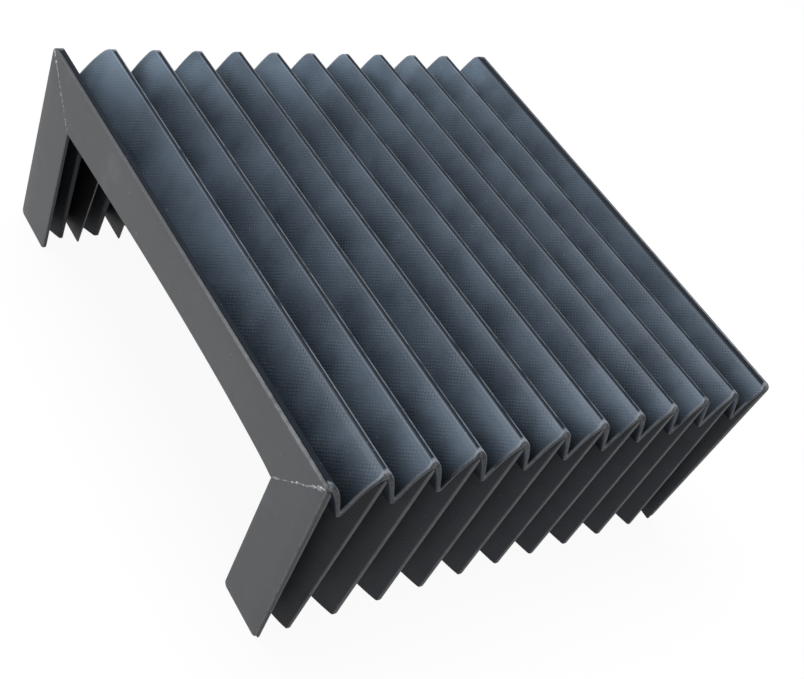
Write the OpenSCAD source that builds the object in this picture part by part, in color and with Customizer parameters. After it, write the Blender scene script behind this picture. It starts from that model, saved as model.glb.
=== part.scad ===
// Bellows way cover: an inverted U of pleated, stiffened sheet between two mitred end frames.
// X runs along the travel, from the front frame at -X to the rear frame at +X.
// Y runs along the crests, with the right leg at -Y and the left leg at +Y.
// The origin is on the floor, under the middle of the cover.

/* [Cover] */
// Width over the outsides of the two legs
cover_w = 240; // [160:1:400]
// Height from the feet to the crests
cover_h = 94; // [70:1:160]

/* [Folds] */
// Number of free crests between the two end frames
crest_count = 10; // [3:1:16]
// Distance from one crest to the next
fold_pitch = 21.5; // [16:0.5:30]
// Depth of the groove between two crests
fold_depth = 17.5; // [14:0.5:26]
// How much further the end grooves are from the nearest free crest than the other grooves
end_slack = 2.5; // [0:0.5:6]
// Thickness of the stiffened sheet
sheet_t = 2; // [1.2:0.1:3]
// Thickness of the bare sheet in the flaps behind the frames
flap_t = 0.8; // [0.5:0.1:2]
// Rounding of the top corners, where the crests and the frames turn down into the legs
corner_r = 2.5; // [1:0.5:6]
// Width of the glue or weld line between two pieces
seam_gap = 0.2; // [0.1:0.05:0.5]

/* [End frames] */
// Width of the bars of an end frame
bar_w = 26; // [20:1:40]
// Thickness of the bars of an end frame
bar_t = 1.5; // [1:0.5:6]
// Lean of an end frame, feet inwards, as the cover lies free; 0 once it is bolted up
frame_lean = 5; // [0:0.5:6]
// Rounding of the corners of the feet
foot_r = 2.5; // [1:0.5:6]

/* [Hidden] */
$fn = 48;

sheet_colour = [0.25, 0.30, 0.35];
frame_colour = [0.37, 0.38, 0.39];

// A panel lies between a crest and a groove. Its angle to X keeps the sheet's thickness true
// on both sides of each fold, whose inside is sharp and whose outside is a flat crest.
panel_rise = fold_depth - sheet_t;
function angle_over(run) = atan2(panel_rise, run) + asin(sheet_t / norm([run, panel_rise]));
panel_angle = angle_over(fold_pitch / 2);
crest_half = sheet_t * tan(panel_angle / 2);
panel_run = fold_pitch / 2 - crest_half;

// The longer panel between an end groove and the nearest free crest.
slack_run = fold_pitch / 2 + end_slack;
slack_angle = angle_over(slack_run);

// The sheet ends in a flap that is bonded to the back of the leaning frame, up to an end crest.
lean_slope = tan(frame_lean);
flap_run = flap_t / cos(frame_lean);
flap_depth = bar_w - sheet_t;
flap_crest = flap_run + sheet_t * lean_slope;
end_crest = flap_crest + crest_half;

// Places along X, all of them mirrored about the middle of the cover.
last_crest = (crest_count - 1) / 2 * fold_pitch;
end_groove = last_crest + slack_run;
sheet_end = end_groove + panel_run + end_crest;

// The frame turns about its inner top edge, so that its lowest edge is on the floor.
frame_pivot = sheet_end + seam_gap / cos(frame_lean);
bar_h = (cover_h - bar_t * sin(frame_lean)) / cos(frame_lean);

// How far beyond the part a cutting shape reaches, and the flats of a rounding on a bar.
margin = 10;
arc_steps = 8;

function crest_x(i) = i * fold_pitch - last_crest;

// Angles of the panels before and after a free crest, as seen from the front.
function angle_before(i) = i == 0 ? slack_angle : panel_angle;
function angle_after(i) = i == crest_count - 1 ? slack_angle : panel_angle;

function reversed(list) = [for (i = [len(list) - 1:-1:0]) list[i]];

// The same points at the rear end, in the opposite order.
function at_rear(list) = [for (p = reversed(list)) [-p[0], p[1]]];

// Outside of the sheet as [x, depth], from the front end crest to the rear one.
function outside_line() =
    let (front = [
        [-sheet_end, 0],
        [end_crest - sheet_end, 0],
        [-end_groove, fold_depth]
    ])
    concat(
        front,
        [for (i = [0:crest_count - 1]) each concat(
            i > 0 ? [[crest_x(i) - fold_pitch / 2, fold_depth]] : [],
            [
                [crest_x(i) - sheet_t * tan(angle_before(i) / 2), 0],
                [crest_x(i) + sheet_t * tan(angle_after(i) / 2), 0]
            ]
        )],
        at_rear(front)
    );

// Sharp inside of a free crest as [x, depth], `gap` clear of the panels before and after it.
function crest_inside(i, gap) =
    let (
        before = angle_before(i),
        after = angle_after(i),
        reach = gap / sin(before + after)
    )
    [crest_x(i) + reach * (cos(after) - cos(before)), sheet_t + reach * (sin(before) + sin(after))];

// Inside of the sheet as [x, depth], from the front end crest to the rear one, `gap` clear of it.
function inside_line(gap = 0) =
    let (
        groove_z = fold_depth + sheet_t + gap,
        groove_half = (sheet_t + gap) * tan(panel_angle / 2),
        slack_groove_half = (sheet_t + gap) * tan(slack_angle / 2),
        flap_gap = gap / cos(frame_lean),
        corner_drop = (flap_gap + gap / sin(panel_angle)) / (1 / tan(panel_angle) - lean_slope),
        front = [
            [flap_crest - sheet_end + flap_gap + lean_slope * corner_drop, sheet_t + corner_drop],
            [-end_groove - groove_half, groove_z],
            [-end_groove + slack_groove_half, groove_z]
        ]
    )
    concat(
        front,
        [for (i = [0:crest_count - 1]) each concat(
            i > 0 ? [
                [crest_x(i) - fold_pitch / 2 - groove_half, groove_z],
                [crest_x(i) - fold_pitch / 2 + groove_half, groove_z]
            ] : [],
            [crest_inside(i, gap)]
        )],
        at_rear(front)
    );

// Free end of the front flap of the top folds, on the slope of the leaning frame.
function flap_end(gap = 0) =
    let (
        end_z = flap_depth + gap,
        foot = lean_slope * end_z - sheet_end
    )
    [[foot, end_z], [foot + flap_run + gap / cos(frame_lean), end_z]];

// The top folds with their flaps, and the leg folds, which butt against flaps of their own.
function top_outline() =
    concat(outside_line(), reversed(concat(flap_end(), inside_line(), at_rear(flap_end()))));
function leg_outline() =
    concat(outside_line(), reversed(concat([[-sheet_end, sheet_t]], inside_line(), [[sheet_end, sheet_t]])));

// Points of a profile in the vertical plane of the travel, with depth measured down from `top`.
function hung_from(top, points) = [for (p = points) [p[0], top - p[1]]];

// Extrudes a profile drawn in X and Z over the whole width of the cover.
module across_cover(width) {
    rotate([90, 0, 0])
        linear_extrude(width, center = true)
            children();
}

// Front view of the cover's outside, with the rounded corners that its crests have.
module rounded_front() {
    half_w = cover_w / 2;
    translate([-half_w, 0])
        square([cover_w, cover_h - corner_r]);
    translate([corner_r - half_w, 0])
        square([cover_w - 2 * corner_r, cover_h]);
    for (side = [-1, 1])
        translate([side * (half_w - corner_r), cover_h - corner_r])
            circle(corner_r);
}

// Everything within the rounded outside of the cover.
module rounded_envelope() {
    rotate([90, 0, 90])
        linear_extrude(2 * (sheet_end + margin), center = true)
            rounded_front();
}

// The space from just under the top folds upwards, kept clear of the leg folds.
module above_top_folds() {
    reach = sheet_end + margin;
    end_z = flap_depth + seam_gap;
    edge = concat(flap_end(seam_gap), inside_line(seam_gap), at_rear(flap_end(seam_gap)));
    outline = concat([[-reach, end_z]], edge, [[reach, end_z], [reach, -margin], [-reach, -margin]]);
    across_cover(cover_w + 2 * margin)
        polygon(hung_from(cover_h, outline));
}

// The space between the backs of the two leaning frames.
module between_frames() {
    top_x = sheet_end;
    foot_x = sheet_end - lean_slope * cover_h;
    across_cover(cover_w + 2 * margin)
        polygon([[-top_x, cover_h], [top_x, cover_h], [foot_x, 0], [-foot_x, 0]]);
}

// Top folds: a pleated strip over the whole width, cut off square at both side planes.
module top_pleats() {
    color(sheet_colour)
        intersection() {
            across_cover(cover_w)
                polygon(hung_from(cover_h, top_outline()));
            rounded_envelope();
        }
}

// The flap of a leg's folds, flat on the back of the front frame.
module front_leg_flap() {
    translate([-sheet_end, 0, cover_h])
        rotate([0, -frame_lean, 0])
            translate([0, -cover_w / 2, -2 * cover_h])
                cube([flap_t, flap_depth, 2 * cover_h]);
}

// Folds of the right leg, cut to the lean of the frames and tucked under the top folds.
module right_pleats() {
    color(sheet_colour)
        intersection() {
            difference() {
                union() {
                    intersection() {
                        linear_extrude(cover_h)
                            translate([0, -cover_w / 2])
                                polygon(leg_outline());
                        between_frames();
                    }
                    front_leg_flap();
                    mirror([1, 0, 0])
                        front_leg_flap();
                }
                above_top_folds();
            }
            rounded_envelope();
        }
}

module left_pleats() {
    mirror([0, 1, 0])
        right_pleats();
}

// Stands a bar, drawn in Y and Z with Z = 0 at the top of the frame, in the front frame.
module in_front_frame() {
    color(frame_colour)
        translate([-frame_pivot, 0, cover_h])
            rotate([0, -frame_lean, 0])
                translate([-bar_t, 0, 0])
                    rotate([90, 0, 90])
                        linear_extrude(bar_t)
                            children();
}

// Rounding of radius r about [y, z], from one angle to another.
function rounding(y, z, r, from, to) =
    [for (i = [0:arc_steps]) let (a = from + (to - from) * i / arc_steps) [y + r * cos(a), z + r * sin(a)]];

// The bar along the top. Its mitres meet the middle of the rounded corners.
module top_bar_outline() {
    corner_y = cover_w / 2 - corner_r;
    inner = cover_w / 2 - bar_w;
    polygon(concat(
        [[-inner, -bar_w], [inner, -bar_w]],
        rounding(corner_y, -corner_r, corner_r, 45, 90),
        rounding(-corner_y, -corner_r, corner_r, 90, 135)
    ));
}

// The bar of the right leg, mitred at its head and rounded at its foot.
module right_leg_outline() {
    outer = -cover_w / 2;
    inner = outer + bar_w;
    foot_z = foot_r - bar_h;
    polygon(concat(
        [[inner, -bar_w]],
        rounding(outer + corner_r, -corner_r, corner_r, 135, 180),
        rounding(outer + foot_r, foot_z, foot_r, 180, 270),
        rounding(inner - foot_r, foot_z, foot_r, 270, 360)
    ));
}

module front_top_bar() {
    in_front_frame()
        top_bar_outline();
}

module front_right_leg() {
    in_front_frame()
        right_leg_outline();
}

module front_left_leg() {
    mirror([0, 1, 0])
        front_right_leg();
}

module rear_top_bar() {
    mirror([1, 0, 0])
        front_top_bar();
}

module rear_right_leg() {
    mirror([1, 0, 0])
        front_right_leg();
}

module rear_left_leg() {
    mirror([1, 0, 0])
        front_left_leg();
}

top_pleats();
right_pleats();
left_pleats();
front_top_bar();
front_right_leg();
front_left_leg();
rear_top_bar();
rear_right_leg();
rear_left_leg();
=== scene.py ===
"""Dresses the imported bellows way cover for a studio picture.

The cover is an inverted U of pleated, stiffened cloth between two mitred end frames.
X runs along the travel, Y along the crests and Z up, all in metres.
"""
import logging
import math
from dataclasses import dataclass, field
from enum import Enum
from functools import cached_property
from typing import Any

import bmesh
import bpy
import numpy as np
from mathutils import Matrix, Vector


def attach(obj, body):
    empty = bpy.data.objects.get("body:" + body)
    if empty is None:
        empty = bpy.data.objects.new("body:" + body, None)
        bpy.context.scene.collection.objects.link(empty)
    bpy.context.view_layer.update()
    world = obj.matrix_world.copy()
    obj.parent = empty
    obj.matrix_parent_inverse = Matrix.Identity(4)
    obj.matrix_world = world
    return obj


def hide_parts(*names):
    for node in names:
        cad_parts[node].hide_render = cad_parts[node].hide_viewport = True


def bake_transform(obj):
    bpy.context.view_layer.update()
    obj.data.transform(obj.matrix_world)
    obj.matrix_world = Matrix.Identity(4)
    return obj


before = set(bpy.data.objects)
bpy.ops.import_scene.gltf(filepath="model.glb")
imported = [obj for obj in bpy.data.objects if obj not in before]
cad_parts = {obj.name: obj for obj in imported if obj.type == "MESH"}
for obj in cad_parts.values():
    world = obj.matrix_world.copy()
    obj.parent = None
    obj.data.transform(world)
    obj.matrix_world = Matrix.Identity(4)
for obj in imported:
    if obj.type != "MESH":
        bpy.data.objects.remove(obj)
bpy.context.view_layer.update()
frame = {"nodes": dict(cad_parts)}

MM = 0.001
log = logging.getLogger("bellows_way_cover")

Pair = tuple[float, float]
Triple = tuple[float, float, float]
Outline = list[Pair]
Faces = list[tuple[int, ...]]
Numbers = float | np.ndarray
Socket = bpy.types.NodeSocket
Material = bpy.types.Material
Piece = bpy.types.Object


class Place(Enum):
    """Where something is on the cover, by its direction along an axis."""

    @property
    def word(self) -> str:
        """Word for this place in the names of pieces."""
        return self.name.lower()


class End(Place):
    """The two ends of the cover, by their side along X."""

    FRONT = -1
    REAR = 1

    @property
    def body(self) -> str:
        """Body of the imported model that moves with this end."""
        return f"{self.word}_end"


class Side(Place):
    """The two legs of the cover, by their side along Y."""

    RIGHT = -1
    LEFT = 1


class Slot(Enum):
    """Material slots of the record."""

    CLOTH = "pleated_cloth"
    FRAME = "end_frame"


def linear(colour: Triple) -> tuple[float, float, float, float]:
    """Turns a display colour into the scene's linear colour.

    Args:
        colour: Red, green and blue from 0 to 255, as seen on a screen.

    Returns:
        The linear colour, opaque.
    """
    shares = [value / 255 for value in colour]
    curve = [s / 12.92 if s <= 0.04045 else ((s + 0.055) / 1.055) ** 2.4 for s in shares]
    return curve[0], curve[1], curve[2], 1.0


class Graph:
    """Node graph of a material or a world, with short calls for the nodes that are used here."""

    def __init__(self, block: bpy.types.Material | bpy.types.World) -> None:
        """Starts an empty graph.

        Args:
            block: A new material or world.
        """
        self.block = block
        block.use_nodes = True
        self.tree = block.node_tree
        self.tree.nodes.clear()

    @cached_property
    def place(self) -> Socket:
        """Coordinates of the surface in the object, in metres."""
        return self.add("TexCoord").outputs["Object"]

    def feed(self, socket: Socket, value: Any) -> None:
        """Links an output to a socket, or sets the socket.

        Args:
            socket: The socket.
            value: Another node's output, a number or a colour.
        """
        if isinstance(value, bpy.types.NodeSocket):
            self.tree.links.new(value, socket)
        else:
            socket.default_value = value

    def add(self, kind: str, inputs: dict[Any, Any] | None = None, **settings: Any) -> bpy.types.Node:
        """Adds a node.

        Args:
            kind: Kind of node, without its ShaderNode prefix.
            inputs: A number, a colour or another node's output for each input, by name or number.
            **settings: Properties of the node.

        Returns:
            The new node.
        """
        node = self.tree.nodes.new(f"ShaderNode{kind}")
        for name, value in settings.items():
            setattr(node, name, value)
        for name, value in (inputs or {}).items():
            self.feed(node.inputs[name], value)
        return node

    def math(self, operation: str, *values: Any) -> Socket:
        """Adds a calculation with one, two or three values and returns its result."""
        return self.add("Math", dict(enumerate(values)), operation=operation).outputs[0]

    def times(self, first: Any, second: Any) -> Socket:
        """Multiplies two values."""
        return self.math("MULTIPLY", first, second)

    def times_plus(self, first: Any, second: Any, third: Any) -> Socket:
        """Multiplies two values and adds a third."""
        return self.math("MULTIPLY_ADD", first, second, third)

    def mean(self, first: Socket, second: Socket) -> Socket:
        """Takes the mean of two values."""
        return self.times_plus(first, 0.5, self.times(second, 0.5))

    def attribute(self, name: str) -> Socket:
        """Reads a number that the mesh carries at its points or faces."""
        return self.add("Attribute", attribute_name=name).outputs["Fac"]

    def noise(self, scale: float, detail: float) -> Socket:
        """Adds a soft random pattern, with `scale` patches in a metre, and returns its strength."""
        return self.add("TexNoise", {"Vector": self.place, "Scale": scale, "Detail": detail}).outputs["Fac"]

    def between(self, value: Socket, low: float, high: float) -> Socket:
        """Spreads the values from low to high over 0 to 1, with a smooth start and end."""
        inputs = {"Value": value, "From Min": low, "From Max": high}
        return self.add("MapRange", inputs, interpolation_type="SMOOTHSTEP").outputs["Result"]

    def scaled(self, value: Socket, low: float, high: float) -> Socket:
        """Spreads a value from 0 to 1 over low to high."""
        return self.add("MapRange", {"Value": value, "To Min": low, "To Max": high}).outputs["Result"]

    def mix(self, share: Any, first: Any, second: Any) -> Socket:
        """Mixes two colours.

        Args:
            share: Share of the second colour.
            first: First colour, or an output that gives it.
            second: Second colour, or an output that gives it.

        Returns:
            The mixed colour.
        """
        node = self.add("Mix", data_type="RGBA")
        sockets = {socket.identifier: socket for socket in node.inputs}
        for key, value in (("Factor_Float", share), ("A_Color", first), ("B_Color", second)):
            self.feed(sockets[key], value)
        return next(socket for socket in node.outputs if socket.identifier == "Result_Color")

    def tint(self, under: Socket, over: Triple, share: Socket) -> Socket:
        """Lays a share of a display colour over another colour."""
        return self.mix(share, under, linear(over))

    def bump(self, height: Socket, distance: float, strength: float, under: Socket | None = None) -> Socket:
        """Adds fine relief to the surface.

        Args:
            height: Height of the relief, from 0 to 1.
            distance: Height that 1 stands for, in metres.
            strength: Strength of the relief.
            under: Relief that this one lies on.

        Returns:
            The surface's direction with the relief on it.
        """
        inputs = {"Height": height, "Distance": distance, "Strength": strength}
        if under is not None:
            inputs["Normal"] = under
        return self.add("Bump", inputs).outputs["Normal"]

    def finish(self, inputs: dict[str, Any]) -> Material:
        """Ends a material's graph in a surface.

        Args:
            inputs: Numbers, colours and outputs for the surface's sockets.

        Returns:
            The finished material.
        """
        shader = self.add("BsdfPrincipled", inputs)
        self.add("OutputMaterial", {"Surface": shader.outputs[0]})
        return self.block


@dataclass(frozen=True)
class Flecks:
    """Small pale flecks on a surface."""

    scale: float
    tone: Triple
    share: float
    limits: Pair = (0.76, 0.82)

    def over(self, graph: Graph, colour: Socket) -> Socket:
        """Scatters the flecks over a colour."""
        shown = graph.between(graph.noise(self.scale, detail=1.0), *self.limits)
        return graph.tint(colour, self.tone, graph.times(shown, self.share))


@dataclass(frozen=True)
class ClothFinish:
    """Coated cloth with a fine weave and painted light in its colour: lighter towards the crests, painted
    shade in the grooves and creases, a painted highlight near the cut edges, and a pale line on the crest
    edges that is partly wear and partly a painted highlight.

    Limits are the strengths of a pattern at which its mark starts and is full. A relief is a height and
    a strength.
    """

    name: str
    # The blue tint of deep and faded is a painted sky reflection.
    deep: Triple = (29, 35, 42)
    faded_and_lit: Triple = (85, 98, 112)
    dullness: float = 0.36
    crest_light_tone: float = 1.08
    crest_light_bend: float = -0.32
    # Colour of the painted highlight over the crests near the cut edges.
    pale: Triple = (128, 145, 162)
    end_highlight_share: float = 0.8
    pale_limits: Pair = (-0.1, 0.9)
    end_crest_highlight: float = 1.6
    end_groove_shade: float = -0.5
    # Colour of the painted shade.
    shade_tone: Triple = (13, 15, 18)
    shade_share: float = 0.85
    crest: Triple = (22, 29, 39)
    crest_share: float = 1.0
    crest_gloss: float = 0.12
    gloss: float = 0.3
    groove_gloss: float = 0.04
    rubbed_and_highlit: Triple = (134, 140, 147)
    rubbed_and_highlit_share: float = 0.95
    rubbed_and_highlit_limits: Pair = (0.26, 0.56)
    flecks: Flecks = Flecks(900.0, (150, 154, 158), 0.5)
    thread_pitch: float = 0.92 * MM
    thread_relief: Pair = (0.10 * MM, 0.55)
    thread_tone: float = 0.24
    worn_scale: float = 170.0
    worn_limits: Pair = (0.36, 0.64)
    worn_height: Pair = (0.08, 0.85)
    wander: float = 0.9 * MM
    wander_scale: float = 260.0
    grain_scale: float = 1500.0
    grain_tone: float = 0.4
    patch_scale: float = 34.0
    patch_limits: Pair = (0.32, 0.70)
    patch_tone: float = 0.38
    streak_scale: float = 120.0
    streak_tone: float = 0.30
    streak_relief: Pair = (0.3 * MM, 0.35)
    roughness: Pair = (0.42, 0.62)
    sheen: float = 0.02
    sheen_roughness: float = 0.5

    def weave(self, graph: Graph, worn: Socket) -> Socket:
        """Height of the weave: one small bump where each pair of threads crosses.

        Args:
            graph: Graph of the material.
            worn: How clearly the threads show through the coat.

        Returns:
            The height, around a half.
        """
        place = graph.add("UVMap", uv_map="cloth").outputs["UV"]
        wander = graph.add("TexNoise", {"Vector": place, "Scale": self.wander_scale}).outputs["Color"]
        inputs = {0: wander, 1: (self.wander,) * 3, 2: place}
        place = graph.add("VectorMath", inputs, operation="MULTIPLY_ADD").outputs[0]
        flat = graph.add("SeparateXYZ", {0: place})
        turn = math.pi / self.thread_pitch
        across, along = (graph.math("SINE", graph.times(flat.outputs[axis], turn)) for axis in (0, 1))
        clear = graph.scaled(graph.between(worn, *self.worn_limits), *self.worn_height)
        return graph.times_plus(graph.times(across, along), clear, 0.5)

    def material(self) -> Material:
        """Builds the material.

        Returns:
            The finished material.
        """
        graph = Graph(bpy.data.materials.new(self.name))
        patches = graph.between(graph.noise(self.patch_scale, detail=4.0), *self.patch_limits)
        streaks = graph.noise(self.streak_scale, detail=5.0)
        grain = graph.math("SUBTRACT", graph.noise(self.grain_scale, detail=2.0), 0.5)
        weave = self.weave(graph, graph.noise(self.worn_scale, detail=3.0))
        rise, ends = graph.attribute("rise"), graph.attribute("ends")
        # Painted light: the colour lightens from the grooves up towards the crests, standing in for how the
        # light falls on the folds.
        painted_light_and_wear = graph.times(rise, graph.times_plus(rise, self.crest_light_bend, self.crest_light_tone))
        painted_light_and_wear = graph.times_plus(patches, self.patch_tone, painted_light_and_wear)
        # Near the cut edges: a painted highlight on the crests and painted shade in the grooves.
        at_ends = graph.times_plus(rise, self.end_crest_highlight, self.end_groove_shade)
        painted_light_and_wear = graph.times_plus(ends, at_ends, painted_light_and_wear)
        painted_light_and_wear = graph.times_plus(streaks, self.streak_tone, graph.math("SUBTRACT", painted_light_and_wear, self.dullness))
        painted_light_and_wear = graph.times_plus(weave, self.thread_tone, painted_light_and_wear)
        painted_light_and_wear = graph.times_plus(grain, self.grain_tone, painted_light_and_wear)
        colour = graph.mix(painted_light_and_wear, linear(self.deep), linear(self.faded_and_lit))
        # Painted highlight: the pale tone over the crests near the cut edges.
        end_highlight = graph.times(graph.times(ends, rise), graph.between(patches, *self.pale_limits))
        colour = graph.tint(colour, self.pale, graph.times(end_highlight, self.end_highlight_share))
        # Painted shade: darkens the crease by each crest, the grooves at the right leg and the legs' first
        # folds.
        painted_shade = graph.times(graph.attribute("painted_shade"), self.shade_share)
        colour = graph.tint(colour, self.shade_tone, painted_shade)
        land = graph.times(graph.attribute("land"), self.crest_share)
        colour = graph.tint(colour, self.crest, land)
        # Pale line along the crest edges and the cut edges: partly wear, partly a painted highlight.
        rub_and_highlight = graph.times(graph.attribute("rub_and_highlight"), graph.between(streaks, *self.rubbed_and_highlit_limits))
        colour = graph.tint(colour, self.rubbed_and_highlit, graph.times(rub_and_highlight, self.rubbed_and_highlit_share))
        colour = self.flecks.over(graph, colour)
        relief = graph.bump(streaks, *self.streak_relief)
        relief = graph.bump(weave, *self.thread_relief, relief)
        # Specular level falls towards the grooves, which darkens them as painted shade.
        gloss = graph.times_plus(rise, self.gloss - self.groove_gloss, self.groove_gloss)
        gloss = graph.times_plus(land, self.crest_gloss - self.gloss, gloss)
        return graph.finish({
            "Base Color": colour, "Roughness": graph.scaled(streaks, *self.roughness), "Normal": relief,
            "Specular IOR Level": gloss, "Sheen Weight": self.sheen, "Sheen Roughness": self.sheen_roughness,
        })


@dataclass(frozen=True)
class CutEdgeFinish:
    """Cut edge of the stiffened cloth, where the pale core shows between the coats."""

    name: str = "cut_edge"
    core: Triple = (112, 114, 118)
    dark: Triple = (68, 70, 74)
    core_limits: Pair = (0.35, 0.65)
    grain_scale: float = 700.0
    grain_relief: Pair = (0.2 * MM, 0.5)
    patch_scale: float = 87.5
    roughness: float = 0.75

    def material(self) -> Material:
        """Builds the material.

        Returns:
            The finished material.
        """
        graph = Graph(bpy.data.materials.new(self.name))
        grain = graph.noise(self.grain_scale, detail=4.0)
        patches = graph.noise(self.patch_scale, detail=3.0)
        share = graph.between(graph.mean(grain, patches), *self.core_limits)
        colour = graph.mix(share, linear(self.dark), linear(self.core))
        relief = graph.bump(grain, *self.grain_relief)
        return graph.finish({"Base Color": colour, "Roughness": self.roughness, "Normal": relief})


@dataclass(frozen=True)
class FrameFinish:
    """Smooth matte grey plastic with faint scuffs, paler along its edges, partly from wear and partly as a
    painted highlight.
    """

    name: str = "frame_grey"
    base: Triple = (113, 115, 118)
    scuffed: Triple = (118, 123, 128)
    scuffed_limits: Pair = (0.42, 0.68)
    scuff_scale: float = 260.0
    scuff_relief: Pair = (0.15 * MM, 0.25)
    cloud_scale: float = 18.0
    rubbed_and_highlit: Triple = (158, 162, 166)
    rubbed_and_highlit_share: float = 0.75
    rubbed_and_highlit_limits: Pair = (0.28, 0.60)
    rubbed_and_highlit_across: Pair = (40 * MM, -115 * MM)
    rim_heights: Pair = (92.2 * MM, 93.8 * MM)
    smear: Triple = (136, 142, 148)
    smear_share: float = 0.55
    smear_limits: Pair = (0.58, 0.74)
    smear_scale: float = 48.0
    flecks: Flecks = Flecks(520.0, (206, 208, 210), 0.6)
    grain_scale: float = 2600.0
    grain_relief: Pair = (0.05 * MM, 0.35)
    roughness: Pair = (0.46, 0.66)

    def material(self) -> Material:
        """Builds the material.

        Returns:
            The finished material.
        """
        graph = Graph(bpy.data.materials.new(self.name))
        clouds = graph.noise(self.cloud_scale, detail=4.0)
        scuffs = graph.noise(self.scuff_scale, detail=6.0)
        grain = graph.noise(self.grain_scale, detail=2.0)
        share = graph.between(graph.mean(scuffs, clouds), *self.scuffed_limits)
        colour = graph.mix(share, linear(self.base), linear(self.scuffed))
        smears = graph.between(graph.noise(self.smear_scale, detail=5.0), *self.smear_limits)
        colour = graph.tint(colour, self.smear, graph.times(smears, self.smear_share))
        axes = graph.add("SeparateXYZ", {0: graph.place}).outputs
        # Paler band along the rounded edges and the top edge: partly wear, partly a painted highlight.
        rim = graph.between(axes["Z"], *self.rim_heights)
        edge = graph.math("MAXIMUM", graph.attribute("edge"), rim)
        edge = graph.times(edge, graph.between(scuffs, *self.rubbed_and_highlit_limits))
        edge = graph.times(edge, graph.between(axes["Y"], *self.rubbed_and_highlit_across))
        colour = graph.tint(colour, self.rubbed_and_highlit, graph.times(edge, self.rubbed_and_highlit_share))
        colour = self.flecks.over(graph, colour)
        relief = graph.bump(grain, *self.grain_relief)
        relief = graph.bump(scuffs, *self.scuff_relief, relief)
        rough = graph.scaled(scuffs, *self.roughness)
        return graph.finish({"Base Color": colour, "Roughness": rough, "Normal": relief})


@dataclass(frozen=True)
class SeamFinish:
    """Pale, frayed bead of the welded mitre joints."""

    name: str = "mitre_seam"
    pale: Triple = (236, 237, 237)
    dull: Triple = (158, 160, 162)
    pale_limits: Pair = (0.40, 0.60)
    grain_scale: float = 900.0
    grain_relief: Pair = (0.2 * MM, 0.6)
    roughness: float = 0.6

    def material(self) -> Material:
        """Builds the material.

        Returns:
            The finished material.
        """
        graph = Graph(bpy.data.materials.new(self.name))
        grain = graph.noise(self.grain_scale, detail=5.0)
        share = graph.between(grain, *self.pale_limits)
        colour = graph.mix(share, linear(self.dull), linear(self.pale))
        relief = graph.bump(grain, *self.grain_relief)
        return graph.finish({"Base Color": colour, "Roughness": self.roughness, "Normal": relief})


@dataclass(frozen=True)
class CoverSizes:
    """Driving sizes of the cover, and the places that follow from them."""

    width: float = 240 * MM
    height: float = 94 * MM
    crest_count: int = 10
    pitch: float = 21.5 * MM
    depth: float = 17.5 * MM
    end_slack: float = 2.5 * MM
    sheet: float = 2 * MM
    flap: float = 0.8 * MM
    corner_r: float = 2.5 * MM
    gap: float = 0.2 * MM
    bar_w: float = 26 * MM
    bar_t: float = 1.5 * MM
    lean: float = math.radians(5)
    foot_r: float = 2.5 * MM

    def angle_over(self, run: float) -> float:
        """Angle to X of a panel from a crest to a groove that keeps the sheet's thickness true."""
        rise = self.depth - self.sheet
        return math.atan2(rise, run) + math.asin(self.sheet / math.hypot(run, rise))

    @cached_property
    def crest_half(self) -> float:
        """Half the flat width of a crest."""
        return self.sheet * math.tan(self.angle_over(self.pitch / 2) / 2)

    @cached_property
    def slack_half(self) -> float:
        """The same on the side of the longer panels beside the end grooves."""
        return self.sheet * math.tan(self.angle_over(self.pitch / 2 + self.end_slack) / 2)

    @cached_property
    def panel_run(self) -> float:
        """Length of a panel along X."""
        return self.pitch / 2 - self.crest_half

    @cached_property
    def flap_crest(self) -> float:
        """Length of the end crest's inside along X."""
        return self.flap / math.cos(self.lean) + self.sheet * math.tan(self.lean)

    @cached_property
    def end_crest(self) -> float:
        """Length of the end crest along X."""
        return self.flap_crest + self.crest_half

    @cached_property
    def crests(self) -> np.ndarray:
        """Places of the free crests along X."""
        return (np.arange(self.crest_count) - (self.crest_count - 1) / 2) * self.pitch

    @cached_property
    def end_groove(self) -> float:
        """Place of the last groove along X."""
        return float(self.crests[-1]) + self.pitch / 2 + self.end_slack

    @cached_property
    def sheet_end(self) -> float:
        """Place of the sheet's end along X, at the top of the frame."""
        return self.end_groove + self.panel_run + self.end_crest

    @cached_property
    def frame_pivot(self) -> float:
        """Place along X of a frame's inner top edge, about which it leans."""
        return self.sheet_end + self.gap / math.cos(self.lean)

    @cached_property
    def frame_inner(self) -> float:
        """Half the width of a frame's opening."""
        return self.width / 2 - self.bar_w

    @cached_property
    def bar_h(self) -> float:
        """Height of a frame along its lean."""
        return (self.height - self.bar_t * math.sin(self.lean)) / math.cos(self.lean)

    @cached_property
    def still_end(self) -> float:
        """Place along X beyond which the cloth stays with its frame, clear of the leaning feet."""
        return self.sheet_end - math.tan(self.lean) * self.height - self.flap_crest

    def blend_place(self, x: float) -> float:
        """Where a smooth step from 0 to 1 has risen to the share of the travel that is due at `x`."""
        share = 0.5 + x / (2 * self.still_end)
        return 0.5 - math.sin(math.asin(1 - 2 * share) / 3)


def smooth_step_slope(at: float) -> float:
    """Slope of a smooth step at a place from 0 to 1."""
    return 6 * at * (1 - at)


def hump(places: Numbers, middle: float, half: float) -> Numbers:
    """A smooth hump that is 1 at its middle and fades on both sides."""
    return np.exp(-((places - middle) / half) ** 2)


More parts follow.
